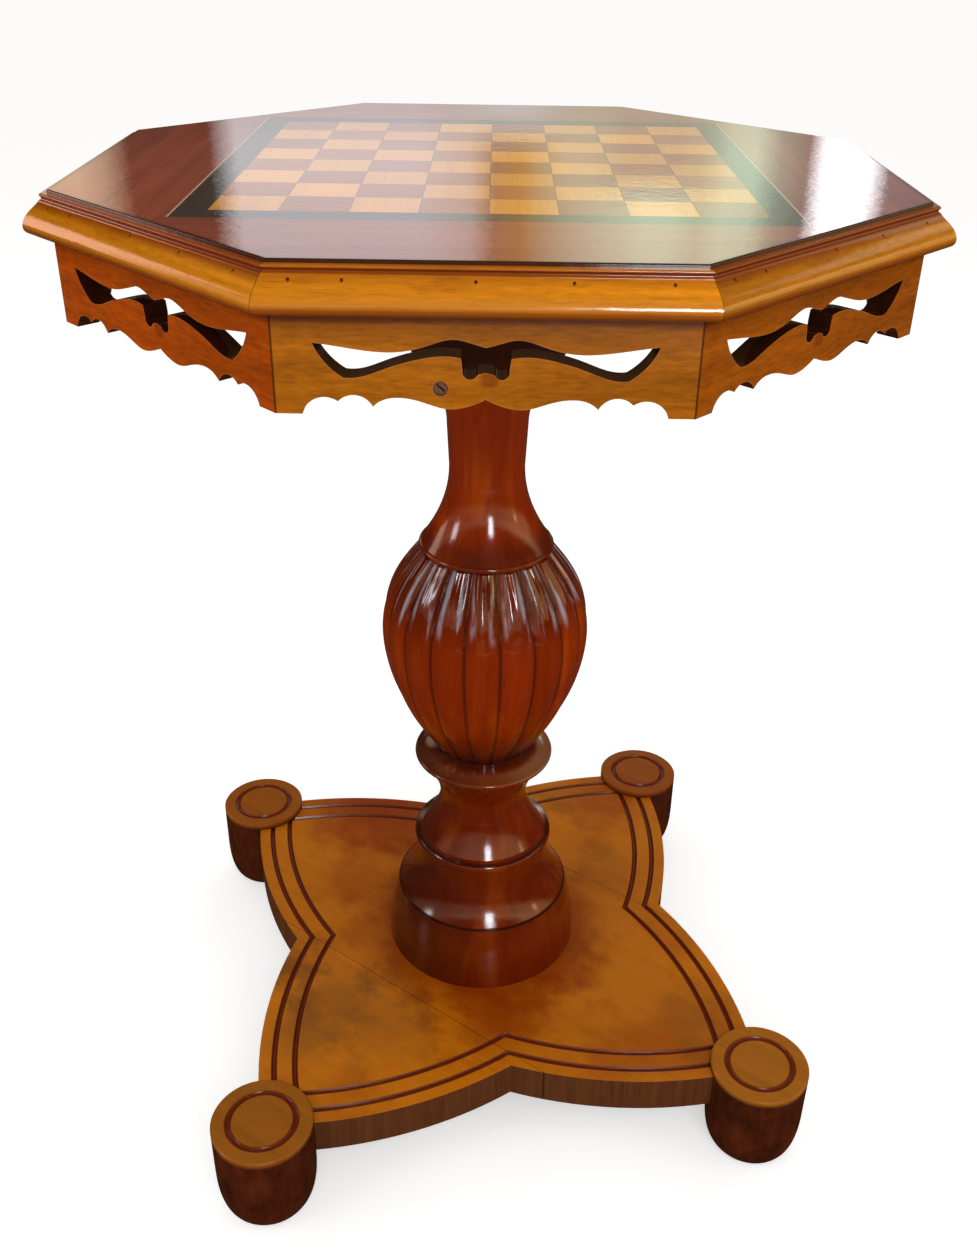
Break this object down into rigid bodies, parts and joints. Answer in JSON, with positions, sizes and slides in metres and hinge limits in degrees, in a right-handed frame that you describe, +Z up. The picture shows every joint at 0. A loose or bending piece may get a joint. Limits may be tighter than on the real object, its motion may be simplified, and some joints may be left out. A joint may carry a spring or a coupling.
{
  "type": "pedestal chess table",
  "caption": "Octagonal pedestal table with an inlaid chessboard top, fretwork aprons, a turned column with a gadrooned bulb, and a cusped base plate on turned feet.",
  "frame": {"origin": "on the floor, on the column's axis", "axes": "+Z up along the column, -Y towards the front side of the octagon, where one player sits, +X to that player's right"},
  "size_m": [0.5606, 0.5606, 0.762],
  "materials": {
    "light_square": "gloss varnish",
    "dark_square": "gloss varnish",
    "border_black": "gloss varnish",
    "field_mahogany": "gloss varnish",
    "moulding_amber": "gloss varnish",
    "apron_amber": "gloss varnish",
    "column_red": "gloss varnish",
    "plate_amber": "gloss varnish",
    "foot_brown": "gloss varnish",
    "plain_wood": "bare",
    "steel": "plain"
  },
  "bodies": {
    "root": {"top_core": "plain_wood", "light_squares": "light_square", "dark_squares": "dark_square", "border_front": "border_black", "field_front": "field_mahogany", "border_right": "border_black", "field_right": "field_mahogany", "border_back": "border_black", "field_back": "field_mahogany", "border_left": "border_black", "field_left": "field_mahogany", "moulding_front": "moulding_amber", "apron_front": "apron_amber", "moulding_front_right": "moulding_amber", "apron_front_right": "apron_amber", "moulding_right": "moulding_amber", "apron_right": "apron_amber", "moulding_back_right": "moulding_amber", "apron_back_right": "apron_amber", "moulding_back": "moulding_amber", "apron_back": "apron_amber", "moulding_back_left": "moulding_amber", "apron_back_left": "apron_amber", "moulding_left": "moulding_amber", "apron_left": "apron_amber", "moulding_front_left": "moulding_amber", "apron_front_left": "apron_amber", "moulding_pins": "steel", "front_apron_screw": "steel", "glue_blocks": "plain_wood", "top_bearer": "plain_wood", "bearer_screws": "steel", "column_neck": "column_red", "gadroon_bulb": "column_red", "column_stem": "column_red", "column_drum": "column_red", "base_board_centre": "plate_amber", "base_board_front_left": "plate_amber", "base_board_back_right": "plate_amber", "foot_front_right": "foot_brown", "foot_back_right": "foot_brown", "foot_back_left": "foot_brown", "foot_front_left": "foot_brown", "foot_dowels": "plain_wood"}
  },
  "joints": []
}
